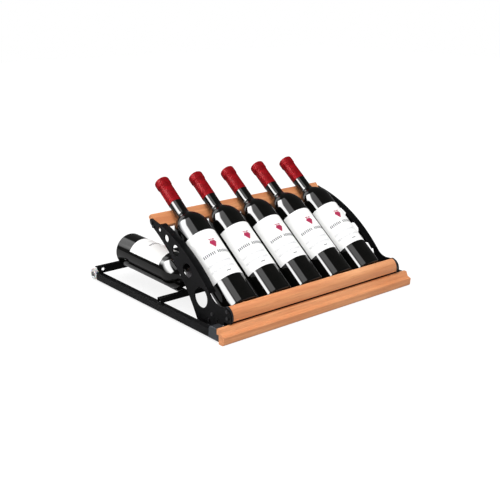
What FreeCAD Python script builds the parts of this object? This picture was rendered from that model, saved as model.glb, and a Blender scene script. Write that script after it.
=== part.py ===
import FreeCAD, Part
import math
import os
from types import SimpleNamespace

import Sketcher
from FreeCAD import Placement, Rotation, Vector

# Pull-out display shelf of a wine cabinet, with its bottles.
# X runs across the shelf, Y from the wooden handle to the back, Z up. The origin is on the
# surface that the shelf stands on, under the middle of the whole shelf.
# In the names below a depth is measured from the front of the handle and a height from that
# surface. Angles are in degrees, everything else in millimetres.

SIZES = {
    # sliding frame
    "frame_width": 530, "shelf_depth": 498, "sheet": 2,
    "rail_front": 50, "rail_back": 472, "rail_base": 5, "rail_height": 17,
    "rail_top_flange": 12, "rail_foot_flange": 24,
    "front_bar_front": 16.5, "front_bar_back": 44, "front_bar_base": 5, "front_bar_height": 13,
    "front_bar_apron_top": 31.2, "front_bar_apron_half": 232,
    "middle_bar_inset": 4, "middle_bar_front": 216, "middle_bar_width": 12, "middle_bar_height": 10.5,
    "rear_bar_front": 461.5, "rear_bar_width": 10, "rear_bar_base": 22, "rear_bar_height": 16.5,
    "rear_bar_overhang": 2.5,
    "rear_bar_hole": 8, "rear_bar_hole_inset": 12, "rear_bar_hole_height": 30.4,
    "rear_bar_corner_width": 8, "rear_bar_corner_height": 11,
    "bracket_width": 20, "bracket_top": 29.5,
    "cradle_pitch": 96.5, "cradle_width": 18, "cradle_thick": 2.5, "cradle_reach": 42,
    # rear rollers
    "roller_radius": 12.5, "roller_width": 8, "roller_height": 15.5, "roller_depth": 485.5,
    "axle_radius": 3, "running_gap": 0.05, "axle_head_radius": 5.5, "axle_head": 1.5,
    # presentation stand
    "stand_width": 476, "panel_sheet": 2.5, "panel_foot": 13.5, "panel_base": 7.2,
    "panel_flange": 14,
    "front_rail_base": 36.2, "front_rail_top": 63.8, "front_rail_back": 32.5,
    "front_rail_belly": 13.9, "front_rail_cap": 4,
    "neck_rail_depth": 281.3, "neck_rail_top": 193.8, "neck_rail_height": 32,
    "neck_rail_thick": 12, "neck_rail_slope": 48,
    "tray_sheet": 2, "tray_rise": 62, "tray_lip": 16, "tray_flange": 26,
    # bottles
    "bottle_pitch": 88, "bottle_tilt": 37.1, "base_depth": 53.4, "base_height": 38.2,
    "bottle_radius": 37.5, "body_length": 203, "neck_length": 91.5,
    "lying_radius": 38, "lying_body": 183, "lying_neck": 35,
    "lying_depth": 441, "lying_height": 71.4, "lying_side": 193, "lying_slope": 1,
    "shoulder_curve": 48, "shoulder_angle": 50, "neck_radius": 14.6, "ring_radius": 16,
    "ring_length": 17, "wall": 4, "heel": 6, "punt": 22, "skin_gap": 0.06,
    "cork_length": 44, "capsule_skin": 0.45, "label_skin": 0.25,
    "label_start": 62, "label_length": 114, "label_wrap": 160,
    "capsule_length": 64, "lying_capsule": 30, "lying_label_start": 57, "rest_gap": 0.4,
}


class Dim:
    """A number together with the spreadsheet formula that gives it."""

    def __init__(self, value, formula):
        self.value = value
        self.formula = formula

    def combine(self, other, sign, value):
        return Dim(value, "(%s %s %s)" % (self.formula, sign, other.formula))

    def __add__(self, other):
        other = dim(other)
        return self.combine(other, "+", self.value + other.value)

    def __radd__(self, other):
        return dim(other) + self

    def __sub__(self, other):
        other = dim(other)
        return self.combine(other, "-", self.value - other.value)

    def __rsub__(self, other):
        return dim(other) - self

    def __mul__(self, other):
        other = dim(other)
        return self.combine(other, "*", self.value * other.value)

    def __rmul__(self, other):
        return dim(other) * self

    def __truediv__(self, other):
        other = dim(other)
        return self.combine(other, "/", self.value / other.value)

    def __neg__(self):
        return dim(0) - self


def dim(number):
    return number if isinstance(number, Dim) else Dim(float(number), "%.6f" % number)


def sine(angle):
    return Dim(math.sin(math.radians(angle.value)), "sin(%s * 1 deg)" % angle.formula)


def cosine(angle):
    return Dim(math.cos(math.radians(angle.value)), "cos(%s * 1 deg)" % angle.formula)


doc = FreeCAD.newDocument("display_shelf")
sheet = doc.addObject("Spreadsheet::Sheet", "Sizes")
named = {}
for row, (alias, number) in enumerate(SIZES.items(), start=1):
    sheet.set("A%d" % row, alias)
    sheet.set("B%d" % row, str(number))
    sheet.setAlias("B%d" % row, alias)
    named[alias] = Dim(float(number), "Sizes." + alias)
doc.recompute()
d = SimpleNamespace(**named)
nodes = []


def at(depth):
    """The Y of a depth behind the front of the handle."""
    return dim(depth) - d.shelf_depth / 2


# ------------------------------------------------------------------ building blocks

def bind(item, field, number):
    """Sets a field of an object to a number that follows the spreadsheet."""
    item.setExpression(field, dim(number).formula)


def place(item, x=0, y=0, z=0, axis=None, angle=0):
    """Moves an object, turning it first about one axis."""
    x, y, z, angle = dim(x), dim(y), dim(z), dim(angle)
    turn = Rotation(axis, angle.value) if axis else Rotation()
    item.Placement = Placement(Vector(x.value, y.value, z.value), turn)
    for field, number in (("x", x), ("y", y), ("z", z)):
        bind(item, "Placement.Base." + field, number)
    return item


def node(item, label):
    """Names a finished sub-part."""
    item.Label = label
    nodes.append(item)
    return item


def new_body(name):
    return doc.addObject("PartDesign::Body", name + "_body")


def new_sketch(body, plane, name):
    sketch = body.newObject("Sketcher::SketchObject", name)
    support = [face for face in body.Origin.OriginFeatures if face.Role == plane][0]
    sketch.AttachmentSupport = [(support, "")]
    sketch.MapMode = "FlatFace"
    return sketch


def hold_point(sketch, geometry, end, u, v):
    """Ties one point of a sketch to its place by two dimensions from the origin."""
    for kind, axis_line, number in (("DistanceX", -2, u), ("DistanceY", -1, v)):
        if abs(number.value) < 1e-9:
            sketch.addConstraint(Sketcher.Constraint("PointOnObject", geometry, end, axis_line))
            continue
        ends = (-1, 1, geometry, end) if number.value > 0 else (geometry, end, -1, 1)
        size = number if number.value > 0 else -number
        index = sketch.addConstraint(Sketcher.Constraint(kind, *ends, size.value))
        bind(sketch, "Constraints[%d]" % index, size)


def arc_centre(start, stop, radius):
    """Centre of the arc from start to stop: anticlockwise if the radius is positive."""
    across = stop - start
    half = across.Length / 2
    reach = math.sqrt(max(radius * radius - half * half, 0))
    side = Vector(-across.y, across.x, 0).normalize() * math.copysign(reach, radius)
    return (start + stop) / 2 + side


def draw_outline(sketch, corners):
    """Draws a closed outline. A corner is (u, v), or (u, v, radius) where an arc starts."""
    corners = [tuple(dim(number) for number in corner) for corner in corners]
    ends = []
    for here, after in zip(corners, corners[1:] + corners[:1]):
        start = Vector(here[0].value, here[1].value, 0)
        stop = Vector(after[0].value, after[1].value, 0)
        if len(here) == 2:
            edge = sketch.addGeometry(Part.LineSegment(start, stop), False)
            ends.append((edge, 1, 2))
            continue
        radius = here[2].value
        centre = arc_centre(start, stop, radius)
        first, last = (start, stop) if radius > 0 else (stop, start)
        angles = [math.atan2((point - centre).y, (point - centre).x) for point in (first, last)]
        circle = Part.Circle(centre, Vector(0, 0, 1), abs(radius))
        edge = sketch.addGeometry(Part.ArcOfCircle(circle, angles[0], angles[1]), False)
        ends.append((edge, 1, 2) if radius > 0 else (edge, 2, 1))
    for index, (edge, first, last) in enumerate(ends):
        following = ends[(index + 1) % len(ends)]
        sketch.addConstraint(Sketcher.Constraint("Coincident", edge, last, following[0], following[1]))
    for (edge, first, last), corner in zip(ends, corners):
        hold_point(sketch, edge, first, corner[0], corner[1])
        if len(corner) == 3:
            size = corner[2] if corner[2].value > 0 else -corner[2]
            index = sketch.addConstraint(Sketcher.Constraint("Radius", edge, size.value))
            bind(sketch, "Constraints[%d]" % index, size)


def draw_circle(sketch, u, v, radius):
    u, v, radius = dim(u), dim(v), dim(radius)
    circle = Part.Circle(Vector(u.value, v.value, 0), Vector(0, 0, 1), radius.value)
    edge = sketch.addGeometry(circle, False)
    hold_point(sketch, edge, 3, u, v)
    index = sketch.addConstraint(Sketcher.Constraint("Radius", edge, radius.value))
    bind(sketch, "Constraints[%d]" % index, radius)


def add_pad(body, plane, corners, length, both_ways=True, backwards=False):
    sketch = new_sketch(body, plane, body.Name + "_outline")
    draw_outline(sketch, corners)
    pad = body.newObject("PartDesign::Pad", body.Name + "_pad")
    pad.Profile = sketch
    bind(pad, "Length", length)
    pad.Midplane = both_ways
    pad.Reversed = backwards
    return pad


def add_pocket(body, plane, circles, length):
    """Cuts round holes right through, the same way to both sides of an origin plane."""
    doc.recompute()
    before = body.Shape.Volume
    sketch = new_sketch(body, plane, body.Name + "_holes")
    for circle in circles:
        draw_circle(sketch, *circle)
    pocket = body.newObject("PartDesign::Pocket", body.Name + "_pocket")
    pocket.Profile = sketch
    bind(pocket, "Length", length)
    pocket.Midplane = True
    doc.recompute()
    if body.Shape.Volume > before - 1:
        raise RuntimeError("holes cut nothing in " + body.Name)


def revolve(name, corners, wrap=360):
    """A body turned about Y from an outline of (length, radius) corners."""
    body = new_body(name)
    sketch = new_sketch(body, "YZ_Plane", name + "_outline")
    draw_outline(sketch, corners)
    turned = body.newObject("PartDesign::Revolution", name + "_turned")
    turned.Profile = sketch
    turned.ReferenceAxis = (sketch, ["H_Axis"])
    turned.Midplane = True
    bind(turned, "Angle", wrap)
    return body


def box(name, x, y, z, width, depth, height):
    """A block that starts at the corner (x, y, z)."""
    block = doc.addObject("Part::Box", name)
    bind(block, "Length", width)
    bind(block, "Width", depth)
    bind(block, "Height", height)
    return place(block, x, y, z)


def rod(name, radius, length, x, y, z, axis=None, angle=0):
    """A round bar that starts at (x, y, z) and runs along +Z, turned about one axis."""
    bar = doc.addObject("Part::Cylinder", name)
    bind(bar, "Radius", radius)
    bind(bar, "Height", length)
    return place(bar, x, y, z, axis, angle)


def fuse(name, items):
    joined = doc.addObject("Part::MultiFuse", name)
    joined.Shapes = items
    return joined


def cut(name, base, tools):
    result = doc.addObject("Part::Cut", name)
    result.Base = base
    result.Tool = tools[0] if len(tools) == 1 else fuse(name + "_tools", tools)
    return result


def group(name, items):
    """Identical loose pieces that share a node."""
    together = doc.addObject("Part::Compound", name)
    together.Links = items
    return together


ALONG_X = (Vector(0, 1, 0), 90)
ALONG_BACK_X = (Vector(0, 1, 0), -90)
ALONG_Y = (Vector(1, 0, 0), -90)
ALONG_FRONT = (Vector(1, 0, 0), 90)
UPWARDS = (Vector(1, 0, 0), 0)
DOWNWARDS = (Vector(1, 0, 0), 180)
SIDES = (("left", -1), ("right", 1))


def screw(name, x, y, z, turn, shank_radius, shank_length):
    """A pan-head screw: its head stands on (x, y, z) and its shank goes in along the turn."""
    back = Rotation(*turn).multVec(Vector(0, 0, 1))
    head_height = shank_radius * 1.1
    head = rod(name + "_head", shank_radius * 2, head_height, x - back.x * head_height,
               y - back.y * head_height, z - back.z * head_height, *turn)
    shank = rod(name + "_shank", shank_radius, shank_length, x, y, z, *turn)
    return fuse(name, [head, shank])


def screw_holes(name, places, turn, shank_radius, shank_length):
    return [rod("%s_%d" % (name, index), shank_radius + 0.05, shank_length + 0.4, *spot, *turn)
            for index, spot in enumerate(places)]


# ------------------------------------------------------------------ sliding frame

half_frame = d.frame_width / 2
rail_top = d.rail_base + d.rail_height
FRAME_SCREW = 2
HANDLE_SCREW_LENGTH = 34
MIDDLE_SCREW_LENGTH = 6
REAR_SCREW_LENGTH = 4

STUD_DEPTHS = (76, 108)
STUD_RADIUS = 2.5
LYING_LABEL_TURN = -14.5

handle_screw_places = [(x, at(d.front_bar_back), 12) for x in (-190, -70, 70, 190)]
middle_screw_places = [(side * (half_frame - 7.5), at(d.middle_bar_front + d.middle_bar_width / 2),
                        rail_top - d.sheet) for _, side in SIDES]
rear_screw_places = [(side * (half_frame - 10), at(d.rear_bar_front + 6),
                      rail_top + d.sheet) for _, side in SIDES]


def build_side_rail(label, side):
    """C-section: upright web outside, short flange on top and a wide one at the foot."""
    inner_top = half_frame - d.rail_top_flange
    inner_foot = half_frame - d.rail_foot_flange
    web = half_frame - d.sheet
    corners = [
        (half_frame, d.rail_base), (half_frame, rail_top), (inner_top, rail_top),
        (inner_top, rail_top - d.sheet), (web, rail_top - d.sheet),
        (web, d.rail_base + d.sheet), (inner_foot, d.rail_base + d.sheet),
        (inner_foot, d.rail_base),
    ]
    length = d.rail_back - d.rail_front
    body = new_body(label)
    add_pad(body, "XZ_Plane", [(side * u, v) for u, v in corners], length)
    place(body, y=at(d.rail_front + length / 2))
    holes = [rod("%s_hole_%d" % (label, index), FRAME_SCREW + 0.05, 8, spot[0], spot[1],
                 rail_top - 5)
             for index, spot in enumerate(middle_screw_places + rear_screw_places)
             if (spot[0].value > 0) == (side > 0)]
    holes += [rod("%s_stud_hole_%d" % (label, depth), STUD_RADIUS + 0.05, 8,
                  side * stud_side(), at(depth), d.rail_base - 2) for depth in STUD_DEPTHS]
    node(cut(label + "_drilled", body, holes), label)


def stud_side():
    """Distance of the locating studs from the middle of the shelf."""
    return d.stand_width / 2 + d.panel_foot / 2 + 0.7


def build_crossbars():
    wall = 1.5
    front = box("front_bar", -half_frame + d.bracket_width, at(d.front_bar_front),
                d.front_bar_base, d.frame_width - d.bracket_width * 2,
                d.front_bar_back - d.front_bar_front, d.front_bar_height)
    hollow = box("front_bar_hollow", -half_frame, at(d.front_bar_front + wall),
                 d.front_bar_base + wall, d.frame_width,
                 d.front_bar_back - d.front_bar_front - 2 * wall, d.front_bar_height - 2 * wall)
    holes = screw_holes("front_bar_hole", handle_screw_places, ALONG_FRONT, FRAME_SCREW, 40)
    tube = cut("front_bar_drilled", front, [hollow] + holes)
    tube_top = d.front_bar_base + d.front_bar_height
    apron = box("front_bar_apron", -d.front_bar_apron_half, at(d.front_bar_back - wall), tube_top,
                d.front_bar_apron_half * 2, wall, d.front_bar_apron_top - tube_top)
    node(fuse("front_bar_joined", [tube, apron]), "front_crossbar")

    middle = box("middle_bar", -half_frame + d.middle_bar_inset, at(d.middle_bar_front), rail_top,
                 d.frame_width - d.middle_bar_inset * 2, d.middle_bar_width, d.middle_bar_height)
    hollow = box("middle_bar_hollow", -half_frame, at(d.middle_bar_front + wall),
                 rail_top + wall, d.frame_width, d.middle_bar_width - 2 * wall,
                 d.middle_bar_height - 2 * wall)
    holes = screw_holes("middle_bar_hole", middle_screw_places, UPWARDS, FRAME_SCREW,
                        MIDDLE_SCREW_LENGTH)
    node(cut("middle_bar_drilled", middle, [hollow] + holes), "middle_crossbar")

    # The rear bar is a channel, open to the back, that stands on the rails.
    near, far = at(d.rear_bar_front), at(d.rear_bar_front + d.rear_bar_width)
    low, high = d.rear_bar_base, d.rear_bar_base + d.rear_bar_height
    body = new_body("rear_bar")
    add_pad(body, "YZ_Plane", [
        (near, low), (far, low), (far, low + d.sheet), (near + d.sheet, low + d.sheet),
        (near + d.sheet, high - d.sheet), (far, high - d.sheet), (far, high), (near, high),
    ], d.frame_width + d.rear_bar_overhang * 2)
    holes = [rod("rear_bar_hole_%d" % side, d.rear_bar_hole / 2, 10,
                 side * (half_frame - d.rear_bar_hole_inset), near - 4,
                 d.rear_bar_hole_height, *ALONG_Y) for _, side in SIDES]
    holes += screw_holes("rear_bar_screw_hole", rear_screw_places, DOWNWARDS, FRAME_SCREW, 6)
    # The lower corner of each end is cut away above the roller.
    tip = half_frame + d.rear_bar_overhang
    for name, side in SIDES:
        corner = new_body("rear_bar_corner_" + name)
        add_pad(corner, "XZ_Plane", [
            (side * (tip + 1), low - 1), (side * (tip + 1), low + d.rear_bar_corner_height),
            (side * tip, low + d.rear_bar_corner_height),
            (side * (tip - d.rear_bar_corner_width), low),
            (side * (tip - d.rear_bar_corner_width), low - 1),
        ], 40)
        place(corner, y=near)
        holes.append(corner)
    node(cut("rear_bar_drilled", body, holes), "rear_crossbar")


def build_front_bracket(label, side):
    """Moulded corner that joins the rail, the front bar and the handle."""
    inner = half_frame - d.bracket_width
    body = new_body(label)
    add_pad(body, "YZ_Plane", [
        (at(d.front_bar_front), 4), (at(d.rail_front), 4), (at(d.rail_front), rail_top),
        (at(d.rail_front - 4), d.bracket_top - 2), (at(d.rail_front - 8), d.bracket_top),
        (at(24), d.bracket_top), (at(24), 18.3), (at(d.front_bar_front), 18.3),
    ], d.bracket_width - 0.5)
    place(body, x=side * (inner + d.bracket_width / 2 - 0.25))
    # A tongue reaches back inside the rail.
    tongue_side = half_frame - d.sheet - 0.3
    left_edge = tongue_side - 7 if side > 0 else -tongue_side
    tongue = box(label + "_tongue", left_edge, at(d.rail_front - 5),
                 d.rail_base + d.sheet + 0.3, 7, 25, d.rail_height - 2 * d.sheet - 0.6)
    node(fuse(label + "_joined", [body, tongue]), label)


def build_handle():
    """Wooden strip: a thin upper board, a cove, and a grip lip in front of it."""
    body = new_body("handle")
    add_pad(body, "YZ_Plane", [
        (at(6), 0), (at(d.front_bar_front), 0), (at(d.front_bar_front), 18.5),
        (at(22.8), 18.5), (at(22.8), 28, 3), (at(19.8), 31), (at(15), 31, 3), (at(12.4), 29.2),
        (at(10.2), 24, -6), (at(6.2), 19.8), (at(2), 18.6, 2.2), (at(0), 16.4),
        (at(0.8), 5, 6),
    ], d.frame_width)
    holes = screw_holes("handle_hole", handle_screw_places, ALONG_FRONT, FRAME_SCREW,
                        HANDLE_SCREW_LENGTH)
    node(cut("handle_drilled", body, holes), "front_handle")


def build_frame_fasteners():
    screws = [screw("handle_screw_%d" % index, *spot, ALONG_FRONT, FRAME_SCREW,
                    HANDLE_SCREW_LENGTH) for index, spot in enumerate(handle_screw_places)]
    node(group("handle_screw_group", screws), "handle_screws")
    screws = [screw("middle_screw_%d" % index, *spot, UPWARDS, FRAME_SCREW, MIDDLE_SCREW_LENGTH)
              for index, spot in enumerate(middle_screw_places)]
    screws += [screw("rear_screw_%d" % index, *spot, DOWNWARDS, FRAME_SCREW, REAR_SCREW_LENGTH)
               for index, spot in enumerate(rear_screw_places)]
    node(group("bar_screw_group", screws), "crossbar_screws")
    studs = []
    for name, side in SIDES:
        for depth in STUD_DEPTHS:
            studs.append(rod("stud_%s_%d" % (name, depth), STUD_RADIUS, 11,
                             side * stud_side(), at(depth), d.rail_base))
    node(group("stud_group", studs), "locating_studs")


def cradle_outline():
    """Cross-section of a strip that is curved to a lying bottle's underside."""
    inside = d.lying_radius + d.rest_gap
    outside = inside + d.cradle_thick
    half = d.cradle_width / 2
    share = half.value / inside.value
    lift_in = inside * math.sqrt(1 - share ** 2)
    lift_out = outside * math.sqrt(1 - share ** 2)
    spread = outside * share
    return [(-half, -lift_in, inside), (half, -lift_in), (spread, -lift_out, -outside),
            (-spread, -lift_out)]


def build_cradles():
    """Five pairs of rests: at the shoulder, behind the middle bar, and at the base."""
    rows = (("front_cradles", d.middle_bar_front + d.middle_bar_width + 0.1),
            ("rear_cradles", d.rear_bar_front - d.cradle_reach - 0.05))
    for label, start in rows:
        strips = []
        for place_index in range(-2, 3):
            body = new_body("%s_%d" % (label, place_index + 2))
            add_pad(body, "XZ_Plane", cradle_outline(), d.cradle_reach)
            middle = start + d.cradle_reach / 2
            drop = (d.lying_depth - middle) * sine(d.lying_slope)
            lean = (d.lying_radius + d.rest_gap + d.cradle_thick) * sine(d.lying_slope)
            place(body, place_index * d.cradle_pitch, at(middle - lean), d.lying_height - drop,
                  Vector(1, 0, 0), d.lying_slope)
            strips.append(body)
        node(group(label + "_group", strips), label)


def build_roller(name, side):
    """A wheel at the back of a rail, its axle, and the plate inside the rail that holds it."""
    outer = half_frame
    turn = ALONG_BACK_X if side > 0 else ALONG_X
    hub_y, hub_z = at(d.roller_depth), d.roller_height
    wheel = rod(name + "_disc", d.roller_radius, d.roller_width, side * outer, hub_y, hub_z, *turn)
    bore = rod(name + "_bore", d.axle_radius + d.running_gap, d.roller_width + 2,
               side * (outer + 1), hub_y, hub_z, *turn)
    groove = doc.addObject("Part::Torus", name + "_dish")
    bind(groove, "Radius1", d.roller_radius * 0.62)
    bind(groove, "Radius2", 1.6)
    place(groove, side * (outer + 0.4), hub_y, hub_z, *turn)
    node(cut(name + "_cut", wheel, [bore, groove]), name + "_roller")

    plate_face = outer - d.roller_width - 1
    plate_sheet = 2.5
    plate_x = plate_face - plate_sheet if side > 0 else -plate_face
    high = rail_top - d.sheet - 0.3
    low = hub_z * 2 - high
    arm = box(name + "_arm", plate_x, at(d.rail_back - 30), low, plate_sheet,
              d.roller_depth - d.rail_back + 30, high - low)
    end = rod(name + "_arm_end", (high - low) / 2, plate_sheet, side * plate_face,
              hub_y, (low + high) / 2, *turn)
    spindle = rod(name + "_spindle", d.axle_radius, outer - plate_face + plate_sheet + 0.4,
                  side * (outer + 0.4), hub_y, hub_z, *turn)
    head = rod(name + "_head", d.axle_head_radius, d.axle_head, side * (outer + 0.4 + d.axle_head),
               hub_y, hub_z, *turn)
    spindle_hole = rod(name + "_arm_hole", d.axle_radius + d.running_gap, 30, side * (outer + 1), hub_y,
                       hub_z, *turn)
    arm_joined = fuse(name + "_arm_joined", [arm, end])
    node(cut(name + "_arm_cut", arm_joined, [spindle_hole]), name + "_roller_plate")
    node(fuse(name + "_axle_joined", [spindle, head]), name + "_roller_axle")


# ------------------------------------------------------------------ presentation stand

panel_face = d.stand_width / 2
wood_half = panel_face - d.panel_sheet
STAND_SCREW = 1.75
STAND_SCREW_LENGTH = 16
FRONT_RAIL_SCREWS = ((24, 43), (25, 56))
NECK_RAIL_SCREWS = (16, 26)
NECK_RAIL_SCREW_BACK = 6
# Depth, height and width of each hole in a side panel.
PANEL_HOLES = ((108, 61, 42), (152, 104.5, 30), (190.5, 137, 23), (222, 155, 15), (247, 168.5, 10))
# The sweep of a side panel's front edge, from its upper end to its lower end.
SWEEP_TOP = (257, 182)
SWEEP_FOOT = (76, 72.8)
SWEEP_RADIUS = 352
PANEL_FOLD = 2.5


def along_slope(down, back):
    """A point of the neck rail's end: so far down its front face, and so far behind it."""
    run, rise = cosine(d.neck_rail_slope), sine(d.neck_rail_slope)
    return (at(d.neck_rail_depth - down * run + back * rise),
            d.neck_rail_top - down * rise - back * run)


def from_base(along, above):
    """A point beside a leaning bottle: along its axis from its base, and above the axis."""
    run, rise = cosine(d.bottle_tilt), sine(d.bottle_tilt)
    return (at(d.base_depth + along * run - above * rise),
            d.base_height + along * rise + above * run)


def stand_screw_places(side):
    """Where screws and rivets go in through a side panel."""
    face = side * panel_face
    front = [(face, at(depth), height) for depth, height in FRONT_RAIL_SCREWS]
    neck = [(face, *along_slope(down, NECK_RAIL_SCREW_BACK)) for down in NECK_RAIL_SCREWS]
    tray = [(face, *from_base(along, above)) for along, above in ((14, -12), (14, -30))]
    return front, neck, tray


def into_side(side):
    return ALONG_BACK_X if side > 0 else ALONG_X


def all_side_holes(name, rows):
    tools = []
    for end, side in SIDES:
        front, neck, tray = stand_screw_places(side)
        chosen = {"front": front, "neck": neck, "tray": tray}
        for row in rows:
            for index, spot in enumerate(chosen[row]):
                length = 8 if row == "tray" else STAND_SCREW_LENGTH
                start = (spot[0] + side * 0.5, spot[1], spot[2])
                tools.append(rod("%s_%s_%s_%d" % (name, end, row, index), STAND_SCREW + 0.05,
                                 length + 1, *start, *into_side(side)))
    return tools


def sweep_point(share, inset):
    """A point that far along the sweep of a panel's front edge, and inside it by the inset."""
    top, foot = (Vector(at(depth).value, height, 0) for depth, height in (SWEEP_TOP, SWEEP_FOOT))
    centre = arc_centre(top, foot, SWEEP_RADIUS)
    angles = [math.atan2(end.y - centre.y, end.x - centre.x) for end in (top, foot)]
    angle = angles[0] + (angles[1] - angles[0]) * share
    reach = SWEEP_RADIUS - inset
    return centre.x + reach * math.cos(angle), centre.y + reach * math.sin(angle)


def build_side_panel(label, side):
    """Arched sheet: it follows the lower rail, flares back, then sweeps up to the neck rail."""
    base = d.panel_base
    body = new_body(label)
    add_pad(body, "YZ_Plane", [
        (at(62), base), (at(119), base, -400), (at(278), 172), (at(282), 178.5, 5),
        (at(277), 184.5, 6), (at(269), 184.5), (at(SWEEP_TOP[0]), SWEEP_TOP[1], SWEEP_RADIUS),
        (at(SWEEP_FOOT[0]), SWEEP_FOOT[1], -34), (at(52), 60.6), (at(36), 61.6, 6),
        (at(28), 62.3, 20), (at(12.4), 43),
        (at(12.4), 34.5), (at(20), 31.8), (at(53), 31.8, -6), (at(57.6), 26.6),
    ], d.panel_sheet)
    foot = new_sketch(body, "YZ_Plane", label + "_foot")
    draw_outline(foot, [(at(62), base), (at(119), base), (at(119), base + d.panel_sheet),
                        (at(62), base + d.panel_sheet)])
    pad = body.newObject("PartDesign::Pad", label + "_foot_pad")
    pad.Profile = foot
    bind(pad, "Length", d.panel_foot + d.panel_sheet / 2)
    pad.Reversed = side < 0
    # The front edge is folded inwards along most of its sweep.
    fold = new_sketch(body, "YZ_Plane", label + "_fold")
    draw_outline(fold, [
        (*sweep_point(0.05, 0), SWEEP_RADIUS), sweep_point(0.97, 0),
        (*sweep_point(0.97, PANEL_FOLD), PANEL_FOLD - SWEEP_RADIUS), sweep_point(0.05, PANEL_FOLD),
    ])
    pad = body.newObject("PartDesign::Pad", label + "_fold_pad")
    pad.Profile = fold
    bind(pad, "Length", d.panel_flange + d.panel_sheet / 2)
    pad.Reversed = side > 0
    add_pocket(body, "YZ_Plane", [(at(depth), height, dim(size) / 2)
                                  for depth, height, size in PANEL_HOLES], 10)
    middle = side * (panel_face - d.panel_sheet / 2)
    add_pocket(body, "XY_Plane", [(side * stud_side() - middle, at(depth), STUD_RADIUS + 0.4)
                                  for depth in STUD_DEPTHS], 40)
    place(body, x=middle)
    holes = all_side_holes(label + "_hole", ("front", "neck", "tray"))
    node(cut(label + "_drilled", body, holes), label)


def rail_outline(proud):
    """Cross-section of the lower rail, larger all round by so much: bellied front, flat back."""
    return [
        (at(16.4 - proud), d.front_rail_base - proud),
        (at(d.front_rail_back + proud), d.front_rail_base - proud),
        (at(d.front_rail_back + proud), d.front_rail_top - 3, 2 + proud),
        (at(30), d.front_rail_top - 0.6 + proud),
        (at(27.9), d.front_rail_top + proud, 19.5 + proud),
        (at(d.front_rail_belly - proud), 43.5, 24 + proud),
        (at(14.6 - proud), d.front_rail_base + 1.2),
    ]


def build_front_rail():
    """Lower wooden rail, with a moulded cap between each of its ends and the side panel."""
    body = new_body("front_rail")
    add_pad(body, "YZ_Plane", rail_outline(0), (wood_half - d.front_rail_cap) * 2)
    holes = all_side_holes("front_rail_hole", ("front",))
    node(cut("front_rail_drilled", body, holes), "front_display_rail")
    caps = []
    for name, side in SIDES:
        cap = new_body("front_rail_cap_" + name)
        add_pad(cap, "YZ_Plane", rail_outline(0.6), d.front_rail_cap)
        place(cap, x=side * (wood_half - d.front_rail_cap / 2))
        holes = all_side_holes("cap_hole_" + name, ("front",))
        caps.append(cut("cap_drilled_" + name, cap, holes))
    node(group("front_rail_cap_group", caps), "front_rail_caps")


def bottle_tools(index):
    """The space that a leaning bottle's shoulder and neck need in the neck rail."""
    x = index * d.bottle_pitch
    tools = []
    gap = 0.9
    neck_start = d.body_length + 52
    wide = d.bottle_radius - 2
    cone = doc.addObject("Part::Cone", "hollow_cone_%d" % (index + 2))
    bind(cone, "Radius1", wide + gap)
    bind(cone, "Radius2", d.neck_radius + gap)
    bind(cone, "Height", neck_start - d.body_length - 18)
    turn = (Vector(1, 0, 0), d.bottle_tilt - 90)
    y, z = from_base(d.body_length + 18, 0)
    tools.append(place(cone, x, y, z, *turn))
    y, z = from_base(neck_start - 0.1, 0)
    tools.append(rod("hollow_neck_%d" % (index + 2), d.neck_radius + gap, 60, x, y, z, *turn))
    return tools


def build_neck_rail():
    """Upper wooden rail: a sloping board with a hollow for each bottle's shoulder."""
    body = new_body("neck_rail")
    add_pad(body, "YZ_Plane", [
        (*along_slope(2, 0), -2), along_slope(0, 2), (*along_slope(0, d.neck_rail_thick - 2), -2),
        along_slope(2, d.neck_rail_thick), (*along_slope(d.neck_rail_height - 2, d.neck_rail_thick), -2),
        along_slope(d.neck_rail_height, d.neck_rail_thick - 2),
        (*along_slope(d.neck_rail_height, 2), -2), along_slope(d.neck_rail_height - 2, 0),
    ], wood_half * 2)
    tools = all_side_holes("neck_rail_hole", ("neck",))
    for index in range(-2, 3):
        tools += bottle_tools(index)
    node(cut("neck_rail_cut", body, tools), "neck_rail")


def build_tray():
    """Folded sheet behind the lower rail: bottles stand on its back and rest in its lip."""
    low = -d.bottle_radius - 0.5
    back = -0.5
    body = new_body("tray")
    add_pad(body, "YZ_Plane", [
        (back - d.tray_sheet, low - d.tray_sheet), (d.tray_lip, low - d.tray_sheet),
        (d.tray_lip, low), (back, low), (back, low + d.tray_rise),
        (back - d.tray_sheet, low + d.tray_rise),
    ], wood_half * 2)
    parts = [body]
    for name, side in SIDES:
        flange = new_body("tray_flange_" + name)
        add_pad(flange, "YZ_Plane", [
            (back, low), (d.tray_flange, low), (d.tray_flange, low + 30), (back, low + 34),
        ], d.tray_sheet)
        place(flange, x=side * (wood_half - d.tray_sheet / 2))
        parts.append(flange)
    folded = fuse("tray_folded", parts)
    place(folded, 0, at(d.base_depth), d.base_height, Vector(1, 0, 0), d.bottle_tilt)
    node(cut("tray_drilled", folded, all_side_holes("tray_hole", ("tray",))), "base_tray")


def build_stand_fasteners():
    rows = {"front": [], "neck": [], "tray": []}
    for end, side in SIDES:
        front, neck, tray = stand_screw_places(side)
        for row, spots in (("front", front), ("neck", neck), ("tray", tray)):
            length = 6 if row == "tray" else STAND_SCREW_LENGTH
            for index, spot in enumerate(spots):
                rows[row].append(screw("stand_%s_%s_%d" % (row, end, index), *spot,
                                       into_side(side), STAND_SCREW, length))
    for row, label in (("front", "front_rail_screws"), ("neck", "neck_rail_screws"),
                       ("tray", "tray_rivets")):
        node(group(label + "_group", rows[row]), label)


# ------------------------------------------------------------------ bottles

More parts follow.
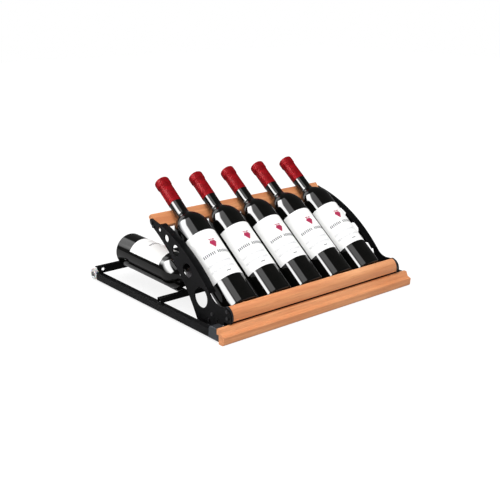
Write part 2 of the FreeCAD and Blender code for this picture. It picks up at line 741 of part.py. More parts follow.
def bottle_shape(radius, body_length, neck_length, offset):
    """The sweep of a bottle's side, moved in by an offset: base to shoulder to neck."""
    angle = d.shoulder_angle
    hollow_curve = (radius - d.neck_radius) / (1 - cosine(angle)) - d.shoulder_curve
    run = (d.shoulder_curve + hollow_curve) * sine(angle)
    outer = d.shoulder_curve - offset
    middle_u = body_length + outer * sine(angle)
    middle_v = radius - d.shoulder_curve + outer * cosine(angle)
    return SimpleNamespace(
        side=radius - offset, body=body_length, middle=(middle_u, middle_v), outer_arc=outer,
        hollow_arc=hollow_curve + offset, neck_start=body_length + run,
        neck=d.neck_radius - offset, top=body_length + run + neck_length)


def glass_corners(radius, body_length, neck_length):
    out = bottle_shape(radius, body_length, neck_length, dim(0))
    bore = bottle_shape(radius, body_length, neck_length, d.wall)
    ring = out.top - d.ring_length
    floor = d.wall + 1
    return [
        (d.punt, 0), (2, radius - 15), (0, radius - 12), (0, radius - d.heel, -d.heel),
        (d.heel, radius), (out.body, radius, -out.outer_arc), (*out.middle, out.hollow_arc),
        (out.neck_start, out.neck), (ring, out.neck), (ring + 1, d.ring_radius),
        (out.top - 1, d.ring_radius), (out.top, d.ring_radius - 1), (out.top, bore.neck),
        (bore.neck_start, bore.neck, -bore.hollow_arc), (*bore.middle, bore.outer_arc),
        (bore.body, bore.side), (floor + 6, bore.side), (floor, bore.side - 6),
        (floor + 1, radius - 15), (d.punt + d.wall, 0),
    ]


def wine_corners(radius, body_length, neck_length):
    fill = bottle_shape(radius, body_length, neck_length, d.wall + 0.1)
    floor = d.wall + 1.2
    return [
        (d.punt + d.wall + 0.2, 0), (floor + 1, radius - 15), (floor, fill.side - 6),
        (floor + 6, fill.side), (fill.body, fill.side, -fill.outer_arc),
        (*fill.middle, fill.hollow_arc), (fill.neck_start, fill.neck),
        (fill.neck_start + 2, fill.neck), (fill.neck_start + 2, 0),
    ]


def capsule_corners(top, length):
    """A thin foil sleeve: close round the neck, over the ring, and across the top."""
    gap, skin = d.skin_gap, d.capsule_skin
    neck, ring = d.neck_radius + gap, d.ring_radius + gap
    step = top - d.ring_length
    return [
        (top - length, neck), (step - gap, neck), (step - gap + 1, ring), (top - 1, ring),
        (top + gap, ring - 1), (top + gap, 0), (top + gap + skin, 0),
        (top + gap + skin, ring - 1.5 + skin, 1.5), (top - 1, ring + skin),
        (step - 0.5, ring + skin), (step - 2.5, neck + skin), (top - length, neck + skin),
    ]


def build_bottle(name, setting):
    """Glass, wine, cork, capsule and label, each placed by the same move."""
    radius, body_length, neck_length = setting.radius, setting.body, setting.neck
    top = bottle_shape(radius, body_length, neck_length, dim(0)).top
    bore = d.neck_radius - d.wall
    label = radius + d.skin_gap
    cork_end = top - 1.5
    # A short neck takes a shorter cork, which stops above the wine.
    cork_length = setting.cork
    pieces = (
        ("glass", glass_corners(radius, body_length, neck_length), 360),
        ("wine", wine_corners(radius, body_length, neck_length), 360),
        ("cork", [(cork_end - cork_length, 0), (cork_end - cork_length, bore - 0.03),
                  (cork_end, bore - 0.03), (cork_end, 0)], 360),
        ("capsule", capsule_corners(top, setting.capsule), 360),
        ("label", [(setting.label, label), (setting.label + d.label_length, label),
                   (setting.label + d.label_length, label + d.label_skin),
                   (setting.label, label + d.label_skin)], d.label_wrap),
    )
    for kind, corners, wrap in pieces:
        body = revolve("%s_%s_turned" % (name, kind), corners, wrap)
        place(body, *setting.spot)
        body.Placement = Placement(body.Placement.Base, setting.turn)
        node(body, "%s_%s" % (name, kind))


def build_bottles():
    leaning = Rotation(Vector(1, 0, 0), d.bottle_tilt.value)
    for index in range(5):
        setting = SimpleNamespace(
            radius=d.bottle_radius, body=d.body_length, neck=d.neck_length,
            cork=d.cork_length, capsule=d.capsule_length, label=d.label_start,
            spot=((index - 2) * d.bottle_pitch, at(d.base_depth), d.base_height), turn=leaning)
        build_bottle("bottle_%d" % (index + 1), setting)
    # The lying bottle points forwards, with its label turned up and to the left.
    nose_down = Rotation(Vector(1, 0, 0), d.lying_slope.value)
    forwards = Rotation(Vector(0, 0, 1), 180)
    label_turn = Rotation(Vector(0, 1, 0), LYING_LABEL_TURN)
    setting = SimpleNamespace(
        radius=d.lying_radius, body=d.lying_body, neck=d.lying_neck, cork=dim(24),
        capsule=d.lying_capsule, label=d.lying_label_start,
        spot=(-d.lying_side, at(d.lying_depth), d.lying_height),
        turn=nose_down.multiply(forwards).multiply(label_turn))
    build_bottle("lying_bottle", setting)


# ------------------------------------------------------------------ whole shelf

for end, side in SIDES:
    build_side_rail(end + "_side_rail", side)
    build_front_bracket(end + "_front_bracket", side)
    build_roller(end, side)
build_crossbars()
build_handle()
build_frame_fasteners()
build_cradles()
for end, side in SIDES:
    build_side_panel(end + "_side_panel", side)
build_front_rail()
build_neck_rail()
build_tray()
build_stand_fasteners()
build_bottles()
doc.recompute()

for item in doc.Objects:
    if "Invalid" in item.State or "Error" in item.State:
        raise RuntimeError("%s did not compute: %s" % (item.Label, item.State))
for item in nodes:
    shape = item.Shape
    if shape.isNull() or not shape.isValid() or not shape.Solids:
        raise RuntimeError(item.Label + " is not a valid solid")

os.makedirs("parts", exist_ok=True)
for item in nodes:
    item.Shape.exportStep("parts/%s.step" % item.Label)
print(len(nodes), "nodes written")
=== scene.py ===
import math

import bmesh
import bpy
from mathutils import Matrix, Vector


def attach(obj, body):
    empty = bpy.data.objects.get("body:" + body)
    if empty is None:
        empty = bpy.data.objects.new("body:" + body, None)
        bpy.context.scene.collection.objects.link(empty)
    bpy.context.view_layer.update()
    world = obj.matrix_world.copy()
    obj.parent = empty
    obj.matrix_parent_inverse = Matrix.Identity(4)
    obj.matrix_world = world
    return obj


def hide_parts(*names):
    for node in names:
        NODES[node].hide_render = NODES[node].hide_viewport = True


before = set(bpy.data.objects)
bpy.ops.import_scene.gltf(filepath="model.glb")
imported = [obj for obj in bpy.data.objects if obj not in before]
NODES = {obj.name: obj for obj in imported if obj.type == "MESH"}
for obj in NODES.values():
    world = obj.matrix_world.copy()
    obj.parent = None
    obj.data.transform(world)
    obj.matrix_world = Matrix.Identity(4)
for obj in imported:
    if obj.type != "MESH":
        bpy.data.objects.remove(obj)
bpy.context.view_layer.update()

# Everything is in metres, in the shelf's own frame: X across, Y to the back, Z up.
MM = 0.001
HALF_DEPTH = 0.249


def at(depth):
    """The Y of a depth in millimetres behind the front of the handle."""
    return depth * MM - HALF_DEPTH


# ------------------------------------------------------------------ node helpers

class Shader:
    """A small wrapper that adds nodes to one material and links them."""

    def __init__(self, name):
        self.material = bpy.data.materials.new(name)
        self.material.use_nodes = True
        self.tree = self.material.node_tree
        self.bsdf = self.tree.nodes["Principled BSDF"]

    def add(self, kind, **inputs):
        made = self.tree.nodes.new(kind)
        for key, value in inputs.items():
            self.put(made, key.replace("_", " "), value)
        return made

    def put(self, item, socket, value):
        """Links a socket to another node's output, or gives it a plain value."""
        target = item.inputs[socket]
        if isinstance(value, bpy.types.NodeSocket):
            self.tree.links.new(value, target)
        else:
            target.default_value = value

    def set(self, **inputs):
        for key, value in inputs.items():
            self.put(self.bsdf, key.replace("_", " "), value)

    def where(self, scale=(1, 1, 1)):
        """Coordinates of the piece itself, stretched."""
        mapping = self.add("ShaderNodeMapping", Scale=scale)
        self.put(mapping, "Vector", self.add("ShaderNodeTexCoord").outputs["Object"])
        return mapping.outputs["Vector"]

    def noise(self, vector, scale, detail=3.0, roughness=0.5, distortion=0.0):
        made = self.add("ShaderNodeTexNoise", Vector=vector, Scale=scale, Detail=detail,
                        Roughness=roughness, Distortion=distortion)
        return made.outputs["Fac"]

    def ramp(self, factor, *stops):
        """A colour ramp from (position, colour) stops."""
        made = self.add("ShaderNodeValToRGB", Fac=factor)
        elements = made.color_ramp.elements
        while len(elements) < len(stops):
            elements.new(0.5)
        for element, (position, colour) in zip(elements, stops):
            element.position = position
            element.color = (*colour, 1) if len(colour) == 3 else colour
        return made.outputs["Color"]

    def math(self, operation, a, b=0.0):
        made = self.add("ShaderNodeMath")
        made.operation = operation
        self.put(made, 0, a)
        self.put(made, 1, b)
        return made.outputs[0]

    def mix(self, factor, a, b):
        """One colour blended over another; each is an (r, g, b) or another node's output."""
        made = self.add("ShaderNodeMix")
        made.data_type = "RGBA"
        self.put(made, 0, factor)
        self.put(made, 6, a if isinstance(a, bpy.types.NodeSocket) else (*a, 1))
        self.put(made, 7, b if isinstance(b, bpy.types.NodeSocket) else (*b, 1))
        return made.outputs[2]

    def span(self, value, low, high, out_low=0.0, out_high=1.0):
        """Maps low..high onto out_low..out_high."""
        made = self.add("ShaderNodeMapRange")
        for index, number in enumerate((value, low, high, out_low, out_high)):
            self.put(made, index, number)
        return made.outputs["Result"]

    def bump(self, height, distance, strength=1.0, under=None):
        made = self.add("ShaderNodeBump", Height=height, Distance=distance, Strength=strength)
        if under is not None:
            self.put(made, "Normal", under)
        return made.outputs["Normal"]


# ------------------------------------------------------------------ materials

def powder_coat():
    """Near-black matt coating with a fine grain."""
    s = Shader("powder_coated_steel")
    pos = s.where()
    grain = s.noise(pos, 900, 2)
    cloud = s.noise(pos, 14, 3)
    s.set(Base_Color=s.ramp(cloud, (0.3, (0.002, 0.002, 0.0022)), (0.75, (0.0045, 0.0045, 0.005))),
          Roughness=s.span(cloud, 0.3, 0.7, 0.36, 0.48), Specular_IOR_Level=0.1,
          Normal=s.bump(grain, 0.00012, 0.35))
    return s.material


def lacquered_wood():
    """Straight-grained wood, its grain along X, with streaks, pale patches and fine pores."""
    s = Shader("lacquered_wood")
    along = s.where((3, 42, 42))
    fine = s.where((14, 420, 420))
    broad = s.noise(along, 1.0, 3, 0.55, 0.6)
    streak = s.noise(fine, 1.0, 4, 0.6, 0.25)
    pores = s.noise(s.where((38, 1500, 1500)), 1.0, 2, 0.5)
    patch = s.noise(s.where((5, 16, 16)), 1.0, 2, 0.5)
    base = s.ramp(broad, (0.28, (0.6, 0.2, 0.075)), (0.5, (0.74, 0.3, 0.12)),
                  (0.72, (0.86, 0.4, 0.18)))
    base = s.mix(s.span(streak, 0.35, 0.7, 0.0, 0.5), base, (0.52, 0.16, 0.06))
    base = s.mix(s.span(patch, 0.45, 0.8, 0.0, 0.35), base, (0.9, 0.48, 0.24))
    base = s.mix(s.span(pores, 0.6, 0.7, 0.0, 0.45), base, (0.3, 0.09, 0.03))
    s.set(Base_Color=base, Roughness=s.span(streak, 0.2, 0.8, 0.42, 0.58), Coat_Weight=0.25,
          Coat_Roughness=0.3, Normal=s.bump(pores, 0.00025, 0.25))
    return s.material


def moulded_plastic(name, colour, roughness):
    s = Shader(name)
    pos = s.where()
    grain = s.noise(pos, 1600, 2)
    cloud = s.noise(pos, 30, 2)
    dark = tuple(c * 0.75 for c in colour)
    s.set(Base_Color=s.ramp(cloud, (0.3, dark), (0.7, colour)),
          Roughness=s.span(grain, 0.3, 0.7, roughness - 0.05, roughness + 0.07),
          Normal=s.bump(grain, 0.00008, 0.4))
    return s.material


def brushed(name, colour, roughness):
    """Bare metal with fine lines along X."""
    s = Shader(name)
    pos = s.where((60, 1500, 1500))
    lines = s.noise(pos, 1.0, 3)
    s.set(Base_Color=s.ramp(lines, (0.3, tuple(c * 0.7 for c in colour)), (0.7, colour)),
          Metallic=1.0, Roughness=s.span(lines, 0.3, 0.7, roughness - 0.06, roughness + 0.08),
          Normal=s.bump(lines, 0.00005, 0.3))
    return s.material


def nylon():
    s = Shader("roller_nylon")
    pos = s.where()
    cloud = s.noise(pos, 220, 3)
    s.set(Base_Color=s.ramp(cloud, (0.3, (0.62, 0.62, 0.6)), (0.7, (0.8, 0.8, 0.78))),
          Roughness=s.span(cloud, 0.3, 0.7, 0.3, 0.42), Subsurface_Weight=0.25,
          Subsurface_Scale=0.004, Normal=s.bump(cloud, 0.0001, 0.2))
    return s.material


def dark_glass():
    """Glass so dark that nothing shows through it, with a slow wave in its surface."""
    s = Shader("dark_bottle_glass")
    pos = s.where()
    wave = s.noise(pos, 24, 2)
    cloud = s.noise(pos, 60, 3)
    seed = s.noise(pos, 700, 2)
    s.set(Base_Color=s.ramp(cloud, (0.3, (0.0016, 0.0018, 0.0015)), (0.7, (0.0032, 0.003, 0.0026))),
          Roughness=s.span(seed, 0.3, 0.75, 0.03, 0.06), IOR=1.52,
          Normal=s.bump(wave, 0.0005, 0.06))
    return s.material


def capsule_foil(name, low, high, crease_shade_colour):
    """Foil: fine creases along the neck and rings round it; the creases are bumped and their colour is
    darkened as painted shade.
    """
    s = Shader(name)
    crease_and_shade = s.noise(s.where((1, 1, 0.25)), 520, 3, 0.6, 0.5)
    rings = s.noise(s.where((0.15, 0.15, 1)), 260, 2, 0.5)
    cloud = s.noise(s.where(), 90, 3)
    base = s.ramp(cloud, (0.25, low), (0.75, high))
    # painted shade: where the crease noise is high the foil colour is darkened, as shade in the folds
    base = s.mix(s.span(crease_and_shade, 0.5, 0.75, 0.0, 0.15), base, crease_shade_colour)
    under = s.bump(rings, 0.0002, 0.08)
    s.set(Base_Color=base, Specular_IOR_Level=0.1,
          Roughness=s.span(cloud, 0.3, 0.7, 0.4, 0.5), Normal=s.bump(crease_and_shade, 0.0002, 0.09, under))
    return s.material


# Middle and half height of each row of faint marks on a label, along the bottle, and the
# rows' middle and half width as angles round the bottle.
FAINT_ROWS = ((97, 2.6), (83, 2.6))
FAINT_MIDDLE, FAINT_HALF = -0.38, 0.72


def label_paper():
    """White paper with two rows of faint grey marks. Z runs along the bottle, X to the label."""
    s = Shader("label_paper")
    centre = s.add("ShaderNodeSeparateXYZ", Vector=s.add("ShaderNodeTexCoord").outputs["Object"])
    around = s.math("ARCTAN2", centre.outputs["Y"], centre.outputs["X"])
    along = centre.outputs["Z"]
    spot = s.add("ShaderNodeCombineXYZ", X=around, Y=s.math("MULTIPLY", along, 26.0))
    marks = s.noise(spot.outputs[0], 30, 2, 0.5)
    ink = s.span(marks, 0.46, 0.54, 0.0, 1.0)
    rows = 0.0
    for middle, half in FAINT_ROWS:
        near = s.math("ABSOLUTE", s.math("SUBTRACT", along, middle * MM))
        rows = s.math("ADD", s.math("LESS_THAN", near, half * MM), rows)
    off_middle = s.math("ABSOLUTE", s.math("SUBTRACT", around, FAINT_MIDDLE))
    inside = s.math("LESS_THAN", off_middle, FAINT_HALF)
    amount = s.math("MULTIPLY", s.math("MULTIPLY", rows, inside), s.math("MULTIPLY", ink, 0.6))
    fibre = s.noise(s.where(), 900, 3)
    paper = s.ramp(fibre, (0.3, (0.86, 0.86, 0.85)), (0.7, (0.93, 0.93, 0.92)))
    s.set(Base_Color=s.mix(amount, paper, (0.3, 0.3, 0.33)), Roughness=0.75,
          Normal=s.bump(fibre, 0.0001, 0.2))
    return s.material


def ink(name, colour):
    """Printing ink, a little uneven."""
    s = Shader(name)
    grain = s.noise(s.where(), 1200, 2)
    s.set(Base_Color=s.ramp(grain, (0.3, tuple(c * 0.8 for c in colour)), (0.7, colour)),
          Roughness=0.6)
    return s.material


def plain(name, colour, roughness):
    """One colour with faint clouds, for what is hidden inside a bottle."""
    s = Shader(name)
    cloud = s.noise(s.where(), 240, 4)
    s.set(Base_Color=s.ramp(cloud, (0.3, tuple(c * 0.8 for c in colour)), (0.7, colour)),
          Roughness=roughness, Normal=s.bump(cloud, 0.0002, 0.2))
    return s.material


STEEL = powder_coat()
WOOD = lacquered_wood()
PLASTIC = moulded_plastic("black_moulded_plastic", (0.012, 0.014, 0.018), 0.45)
CRADLE = moulded_plastic("cradle_plastic", (0.012, 0.012, 0.013), 0.55)
SCREW = brushed("blackened_steel", (0.1, 0.1, 0.105), 0.35)
AXLE = brushed("axle_steel", (0.3, 0.3, 0.31), 0.3)
NYLON = nylon()
GLASS = dark_glass()
# The last colour of each foil is painted shade that darkens its creases.
FOIL = capsule_foil("capsule_foil", (0.15, 0.0003, 0.002), (0.27, 0.0008, 0.005), (0.07, 0.0, 0.002))
DARK_FOIL = capsule_foil("dark_foil", (0.006, 0.005, 0.006), (0.012, 0.01, 0.012),
                         (0.002, 0.002, 0.002))
WINE = plain("red_wine", (0.05, 0.002, 0.008), 0.1)
CORK = plain("natural_cork", (0.5, 0.33, 0.2), 0.85)
PAPER = label_paper()
CRIMSON_INK = ink("crimson_ink", (0.42, 0.012, 0.075))
DARK_INK = ink("dark_ink", (0.03, 0.03, 0.045))

for name, item in NODES.items():
    if name.endswith("_glass"):
        material = GLASS
    elif name.endswith("_wine"):
        material = WINE
    elif name.endswith("_cork"):
        material = CORK
    elif name.endswith("_capsule"):
        material = DARK_FOIL if name.startswith("lying") else FOIL
    elif name.endswith("_label"):
        material = PAPER
    elif name in ("front_handle", "front_display_rail", "neck_rail"):
        material = WOOD
    elif "bracket" in name or name.endswith("_caps"):
        material = PLASTIC
    elif "cradle" in name:
        material = CRADLE
    elif name.endswith("_roller"):
        material = NYLON
    elif name.endswith("_axle"):
        material = AXLE
    elif "screw" in name or "rivet" in name or "stud" in name:
        material = SCREW
    else:
        material = STEEL
    item.data.materials.clear()
    item.data.materials.append(material)


# ------------------------------------------------------------------ soft edges

def soften(name, width):
    """Rounds the sharp edges of a CAD piece with modifiers, its own mesh left as it is."""
    item = NODES[name]
    weld = item.modifiers.new("weld", "WELD")
    weld.merge_threshold = 0.01 * MM
    flat = item.modifiers.new("flat", "DECIMATE")
    flat.decimate_type = "DISSOLVE"
    flat.angle_limit = math.radians(0.5)
    bevel = item.modifiers.new("bevel", "BEVEL")
    bevel.width = width * MM
    bevel.segments = 2
    bevel.limit_method = "ANGLE"
    bevel.angle_limit = math.radians(35)
    bevel.use_clamp_overlap = True
    bevel.harden_normals = True


for name in ("left_side_rail", "right_side_rail", "middle_crossbar", "rear_crossbar",
             "left_side_panel", "right_side_panel", "base_tray"):
    soften(name, 0.45)
for name in ("left_front_bracket", "right_front_bracket", "front_crossbar"):
    soften(name, 0.8)
for name in ("front_handle", "front_display_rail", "neck_rail"):
    soften(name, 0.7)


# ------------------------------------------------------------------ bottles

# Millimetres, as in the CAD. CURVE is the radius of the shoulder's outer sweep.
RADIUS, LYING_RADIUS = 37.5, 38.0
NECK, RING, RING_LENGTH = 14.6, 16.0, 17.0
CURVE, CURVE_ANGLE = 48.0, math.radians(50)
WALL, HEEL, PUNT = 4.0, 6.0, 22.0
GAP = 0.06
FOIL_SKIN, LABEL_SKIN = 0.45, 0.25


def arc(centre, radius, first, last, steps):
    """Points of an arc in (length, radius) terms, its angles in degrees."""
    made = []
    for step in range(steps + 1):
        angle = math.radians(first + (last - first) * step / steps)
        made.append((centre[0] + radius * math.cos(angle), centre[1] + radius * math.sin(angle)))
    return made


def shoulder(radius, body, inset, steps=14):
    """The sweep from a bottle's side to its neck, moved in by an inset."""
    hollow = (radius - NECK) / (1 - math.cos(CURVE_ANGLE)) - CURVE
    outer = CURVE - inset
    inner = hollow + inset
    neck_start = body + (CURVE + hollow) * math.sin(CURVE_ANGLE)
    turn = math.degrees(CURVE_ANGLE)
    rise = arc((body, radius - CURVE), outer, 90, 90 - turn, steps)
    fall = arc((neck_start, NECK + hollow), inner, 270 - turn, 270, steps)
    return rise + fall[1:], neck_start


def glass_outline(radius, body, neck):
    """The glass from the punt round the outside to the lip and back down the inside."""
    outside, neck_start = shoulder(radius, body, 0)
    inside, _ = shoulder(radius, body, WALL)
    top = neck_start + neck
    ring = top - RING_LENGTH
    bore = NECK - WALL
    floor = WALL + 1
    base = [(PUNT + 1.5, 0), (PUNT, 4), (PUNT - 4.5, 9), (PUNT - 10, 15), (PUNT - 15.5, 20),
            (2.2, radius - 15), (0.3, radius - 13.4)]
    foot = [(0, radius - 12), (0, radius - HEEL - 0.6)]
    heel = arc((HEEL, radius - HEEL), HEEL, 180, 90, 12)
    lip = [(ring - 0.8, NECK), (ring, NECK + 0.25), (ring + 0.8, RING - 0.25), (ring + 1.6, RING),
           (top - 1.8, RING), (top - 0.7, RING - 0.4), (top, RING - 1.6), (top, bore + 0.8),
           (top - 0.8, bore)]
    back = [(floor + 6, radius - WALL), (floor + 1.8, radius - WALL - 1.8), (floor, radius - WALL - 6),
            (floor + 1, radius - 15), (PUNT + WALL, 0)]
    return base + foot + heel + outside + lip + inside[::-1] + back, top


def capsule_outline(top, length):
    """Foil sleeve: a plain skirt, a fold under the ring, the ring and a rounded crown."""
    gap, skin = GAP, FOIL_SKIN
    neck, ring = NECK + gap, RING + gap
    step = top - RING_LENGTH
    start = top - length
    inner = [(start, neck), (step - gap, neck), (step + 1, ring), (top - 1, ring),
             (top + gap, ring - 1), (top + gap, 0)]
    edge = 3.4
    crown = arc((top + gap + skin - edge, ring + skin - edge), edge, 0, 90, 8)
    side = [(step + 2.2, ring + skin), (step + 0.9, ring + skin - 0.2), (step - 0.6, neck + skin + 0.5),
            (step - 2.4, neck + skin), (step - 9, neck + skin), (step - 9.5, neck + skin - 0.14),
            (step - 10, neck + skin), (start + 1.2, neck + skin), (start + 0.3, neck + skin - 0.08),
            (start, neck + skin - 0.2)]
    return inner + [(top + gap + skin, 0)] + crown + side


def lathe(name, outline, frame_matrix, material, body, stands_for, sweep=360.0, segments=128):
    """Turns an outline of (length, radius) in millimetres about the local Z."""
    made = bmesh.new()
    closed = sweep >= 360
    count = segments if closed else segments + 1
    rings = []
    for length, radius in outline:
        if radius < 1e-6:
            rings.append([made.verts.new((0, 0, length * MM))])
            continue
        ring = []
        for index in range(count):
            angle = math.radians(-sweep / 2 + sweep * index / segments)
            ring.append(made.verts.new((radius * MM * math.cos(angle),
                                        radius * MM * math.sin(angle), length * MM)))
        rings.append(ring)
    pairs = list(zip(rings, rings[1:] + rings[:1]))
    for low, high in pairs:
        for index in range(segments):
            after = (index + 1) % count
            corners = [low[index if len(low) > 1 else 0], low[after if len(low) > 1 else 0],
                       high[after if len(high) > 1 else 0], high[index if len(high) > 1 else 0]]
            corners = list(dict.fromkeys(corners))
            if len(corners) > 2:
                made.faces.new(corners)
    if not closed:
        for index in (0, -1):
            made.faces.new([ring[index] for ring in rings])
    bmesh.ops.recalc_face_normals(made, faces=made.faces)
    finish_piece(name, made, frame_matrix, material, body, stands_for)


def finish_piece(name, made, frame_matrix, material, body, stands_for=None):
    """Makes the object, smooth but for its sharp edges, and lets it ride with its body."""
    mesh = bpy.data.meshes.new(name)
    for face in made.faces:
        face.smooth = True
    for edge in made.edges:
        if len(edge.link_faces) == 2 and edge.calc_face_angle(0) > math.radians(40):
            edge.smooth = False
    made.to_mesh(mesh)
    made.free()
    mesh.materials.append(material)
    item = bpy.data.objects.new(name, mesh)
    item.matrix_world = frame_matrix
    bpy.context.scene.collection.objects.link(item)
    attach(item, body)
    if stands_for:
        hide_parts(stands_for)


def wrapped(radius, across, along):
    """A point of a label's face: so far round it and so far along the bottle."""
    angle = across / radius
    return (radius * math.cos(angle) * MM, radius * math.sin(angle) * MM, along * MM)


def add_disc(made, radius, across, along, size, steps=20):
    """A round dot that follows the label."""
    middle = made.verts.new(wrapped(radius, across, along))
    rim = []
    for step in range(steps):
        angle = 2 * math.pi * step / steps
        rim.append(made.verts.new(wrapped(radius, across + size * math.cos(angle),
                                          along + size * math.sin(angle))))
    for here, after in zip(rim, rim[1:] + rim[:1]):
        made.faces.new((middle, here, after))


def add_bar(made, radius, across, along, width, height):
    """An upright bar, made of strips narrow enough to follow the label."""
    widest = 1.5
    strips = max(1, math.ceil(width / widest))
    columns = []
    for step in range(strips + 1):
        side = across - width / 2 + width * step / strips
        columns.append([made.verts.new(wrapped(radius, side, along + end * height / 2))
                        for end in (-1, 1)])
    for here, after in zip(columns, columns[1:]):
        made.faces.new((here[0], after[0], after[1], here[1]))


# The grape bunch of a label: rows of round berries, each a count and a height, then the two
# leaves as pairs of dots, each a distance across, a height and a size, and the stalk.
BERRY, BERRY_PITCH = 2.25, 3.9
BERRY_ROWS = ((3, 3.6), (4, 0.4), (3, -2.8), (2, -6.0), (1, -9.0))
LEAF_DOTS = ((3.1, 8.0, 1.7), (5.6, 8.8, 1.2))
STALK_HEIGHT, STALK_SIZE = 8.0, (0.9, 6.0)
EMBLEM_ACROSS, EMBLEM_ALONG = -2.9, 142.0
# A line of even ticks in two groups, each with its start across the label and its count.
TICK_GROUPS = ((-37.0, 7), (-4.0, 9))
TICK_PITCH, TICK_WIDTH, TICK_HEIGHT = 4.1, 2.1, 7.0
TICK_FOOT = 116.0
# The small dark mark low on the label: its place across and along, and its size.
MARK_PLACE, MARK_SIZE = (-6.5, 72.5), (9.5, 1.8)


def label_prints(name, radius, frame_matrix, body, shift, turn):
    """The emblem, the ticks and the small mark, just proud of the paper."""
    proud = 0.03
    face = radius + GAP + LABEL_SKIN + proud
    middle, base = EMBLEM_ACROSS + turn, EMBLEM_ALONG + shift
    made = bmesh.new()
    for count, height in BERRY_ROWS:
        for index in range(count):
            across = (index - (count - 1) / 2) * BERRY_PITCH
            add_disc(made, face, middle + across, base + height, BERRY)
    for lean in (-1, 1):
        for across, height, size in LEAF_DOTS:
            add_disc(made, face, middle + lean * across, base + height, size)
    add_bar(made, face, middle, base + STALK_HEIGHT, *STALK_SIZE)
    finish_piece(name + "_emblem", made, frame_matrix, CRIMSON_INK, body)
    made = bmesh.new()
    for start, count in TICK_GROUPS:
        for index in range(count):
            across = start + index * TICK_PITCH + turn
            add_bar(made, face, across, TICK_FOOT + shift + TICK_HEIGHT / 2, TICK_WIDTH, TICK_HEIGHT)
    add_bar(made, face, *MARK_PLACE, *MARK_SIZE)
    finish_piece(name + "_ticks", made, frame_matrix, DARK_INK, body)


# Millimetres along the bottle, and degrees round it.
LABEL_LENGTH, LABEL_WRAP = 114, 160


def bottle_frame(base, axis, label):
    """Local Z up the bottle, local X out through the middle of its label."""
    axis, label = Vector(axis).normalized(), Vector(label).normalized()
    side = axis.cross(label)
    turn = Matrix((label, side, axis)).transposed().to_4x4()
    return Matrix.Translation(base) @ turn


def build_bottle(name, radius, body_length, neck, matrix, capsule, label_start, foil=FOIL,
                 shift=0, turn=0):
    """Glass, foil, label and prints. Shift and turn move the emblem and ticks along and across."""
    outline, top = glass_outline(radius, body_length, neck)
    lathe(name + "_dark_glass", outline, matrix, GLASS, name, name + "_glass",
          segments=144)
    lathe(name + "_foil", capsule_outline(top, capsule), matrix, foil, name, name + "_capsule",
          segments=96)
    near, far = radius + GAP, radius + GAP + LABEL_SKIN
    label_end = label_start + LABEL_LENGTH
    paper = [(label_start, near), (label_end, near), (label_end, far), (label_start, far)]
    lathe(name + "_paper", paper, matrix, PAPER, name, name + "_label",
          sweep=LABEL_WRAP, segments=96)
    label_prints(name, radius, matrix, name, shift, turn)


# The five leaning bottles: their spacing, tilt, and the middle of each base.
PITCH, TILT = 88, math.radians(37.1)
BASE_DEPTH, BASE_HEIGHT = 53.4, 38.2
LEANING_AXIS = (0, math.cos(TILT), math.sin(TILT))
LEANING_LABEL = (0, -math.sin(TILT), math.cos(TILT))
for index in range(5):
    base = Vector(((index - 2) * PITCH * MM, at(BASE_DEPTH), BASE_HEIGHT * MM))
    build_bottle("bottle_%d" % (index + 1), RADIUS, body_length=203, neck=91.5,
                 matrix=bottle_frame(base, LEANING_AXIS, LEANING_LABEL), capsule=64, label_start=62)

# The lying bottle points forward and a little down, its label turned to the side.
LYING_BASE = Vector((-193 * MM, at(441), 71.4 * MM))
SLOPE, LABEL_TURN = math.radians(1), math.radians(14.5)
lying_axis = Vector((0, -math.cos(SLOPE), -math.sin(SLOPE)))
upright = Vector((0, -math.sin(SLOPE), math.cos(SLOPE)))
lying_label = upright * math.cos(LABEL_TURN) + Vector((1, 0, 0)) * math.sin(LABEL_TURN)
build_bottle("lying_bottle", LYING_RADIUS, body_length=183, neck=35,
             matrix=bottle_frame(LYING_BASE, lying_axis, lying_label), capsule=30, label_start=57,
             foil=DARK_FOIL, shift=-18, turn=-8)


# ------------------------------------------------------------------ floor, lights, camera

TARGET = Vector((0, 0, 0.1))


def floor():
    """A pale floor, lit a little by itself so that the camera sees it nearly white."""
    mesh = bpy.data.meshes.new("floor")
    made = bmesh.new()
    bmesh.ops.create_grid(made, x_segments=2, y_segments=2, size=6)
    made.to_mesh(mesh)
    made.free()
    item = bpy.data.objects.new("floor", mesh)
    bpy.context.scene.collection.objects.link(item)
    s = Shader("floor_paper")
    seen = s.add("ShaderNodeLightPath").outputs["Is Camera Ray"]
    s.set(Base_Color=(0.24, 0.24, 0.24, 1), Roughness=1.0, Specular_IOR_Level=0.0,
          Emission_Color=(1, 1, 1, 1), Emission_Strength=s.span(seen, 0, 1, 0.14, 0.82))
    mesh.materials.append(s.material)


def area_light(name, direction, distance, size, power):
    """A rectangular lamp out along a direction, facing the shelf and not mirrored in it."""
    lamp = bpy.data.lights.new(name, "AREA")
    lamp.shape = "RECTANGLE"
    lamp.size, lamp.size_y = size
    lamp.energy = power
    item = bpy.data.objects.new(name, lamp)
    way = Vector(direction).normalized()
    item.location = TARGET + way * distance
    item.rotation_mode = "QUATERNION"
    item.rotation_quaternion = (-way).to_track_quat("-Z", "Y")
    item.visible_glossy = False
    bpy.context.scene.collection.objects.link(item)


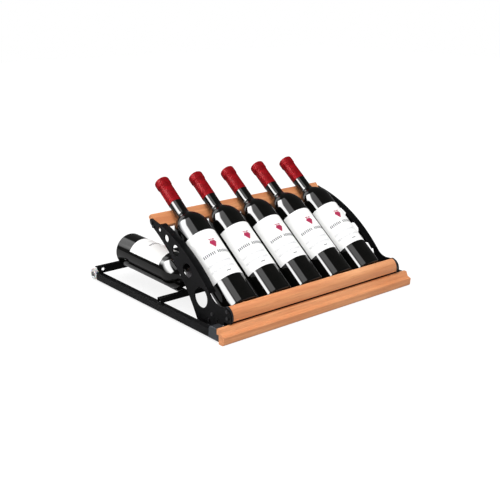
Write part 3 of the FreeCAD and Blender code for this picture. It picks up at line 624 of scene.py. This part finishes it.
def studio_world():
    """White to the camera; dark with three light cards where things reflect it; a soft sky else."""
    world = bpy.data.worlds.new("studio")
    world.use_nodes = True
    tree = world.node_tree
    out = tree.nodes["World Output"]
    back = tree.nodes["Background"]
    back.inputs["Strength"].default_value = 1.0
    coordinates = tree.nodes.new("ShaderNodeTexCoord").outputs["Generated"]

    def value(operation, a, b=0.0, clamp=False):
        made = tree.nodes.new("ShaderNodeMath")
        made.operation = operation
        made.use_clamp = clamp
        for socket, number in zip(made.inputs, (a, b)):
            if isinstance(number, bpy.types.NodeSocket):
                tree.links.new(number, socket)
            else:
                socket.default_value = number
        return made.outputs[0]

    def along(direction):
        made = tree.nodes.new("ShaderNodeVectorMath")
        made.operation = "DOT_PRODUCT"
        tree.links.new(coordinates, made.inputs[0])
        made.inputs[1].default_value = Vector(direction).normalized()
        return made.outputs["Value"]

    def card(first, last, length, fades, strength):
        """A strip of sky between two directions, that fades in and out by so many radians."""
        first, last = Vector(first).normalized(), Vector(last).normalized()
        middle = (first + last).normalized()
        across = (last - first).normalized()
        up = middle.cross(across).normalized()
        half = math.asin((last - first).length / 2)
        forward = along(middle)
        a = value("ARCTAN2", along(across), forward)
        b = value("ARCTAN2", along(up), forward)
        enter = value("DIVIDE", value("ADD", a, half), fades[0], True)
        leave = value("DIVIDE", value("SUBTRACT", half, a), fades[1], True)
        b = value("DIVIDE", value("SUBTRACT", length / 2, value("ABSOLUTE", b)), fades[1], True)
        seen = value("MULTIPLY", b, value("GREATER_THAN", forward, 0.0))
        made = value("MULTIPLY", value("MULTIPLY", enter, leave), seen)
        falloff = 1.6
        return value("MULTIPLY", value("POWER", made, falloff), strength)

    bright = card((-0.85, 0.48, 0.06), (-0.69, 0.01, 0.72), 1.5, (0.36, 0.12), 22.0)
    dim = card((-0.71, 0.03, 0.70), (-0.2, -0.17, 0.965), 1.3, (0.05, 0.05), 2.0)
    low = card((-0.55, 0.8, 0.24), (0.05, 0.8, 0.6), 0.5, (0.08, 0.08), 1.6)
    dark = 0.08
    glossy = value("ADD", value("ADD", bright, dim), value("ADD", low, dark))
    sky, from_above, from_left = 0.76, 0.3, 0.45
    diffuse = value("ADD", value("MULTIPLY", along((0, 0, 1)), from_above), sky)
    diffuse = value("SUBTRACT", diffuse, value("MULTIPLY", along((1, 0, 0)), from_left))
    path = tree.nodes.new("ShaderNodeLightPath")
    is_glossy, is_camera = path.outputs["Is Glossy Ray"], path.outputs["Is Camera Ray"]
    other = value("SUBTRACT", 1.0, value("ADD", is_glossy, is_camera), True)
    level = value("ADD", value("MULTIPLY", glossy, is_glossy), value("MULTIPLY", diffuse, other))
    level = value("ADD", level, is_camera)
    tree.links.new(level, back.inputs["Color"])
    tree.links.new(back.outputs[0], out.inputs["Surface"])
    bpy.context.scene.world = world


floor()
area_light("key", direction=(-0.3, -0.55, 1.0), distance=2.6, size=(1.6, 1.6), power=30)
studio_world()

# The camera's own right, up and back, and where it stands.
camera = bpy.data.cameras.new("camera")
camera.sensor_width = 36
camera.lens = 59.675
item = bpy.data.objects.new("camera", camera)
across = Vector((0.770536, -0.637397, -0.000538))
upward = Vector((0.190667, 0.229688, 0.954405))
backward = Vector((-0.608211, -0.735506, 0.298513))
turn = Matrix((across, upward, backward)).transposed().to_4x4()
item.matrix_world = Matrix.Translation((-1.13075, -1.37149, 0.63265)) @ turn
bpy.context.scene.collection.objects.link(item)
bpy.context.scene.camera = item
bpy.context.scene.view_settings.view_transform = "Standard"
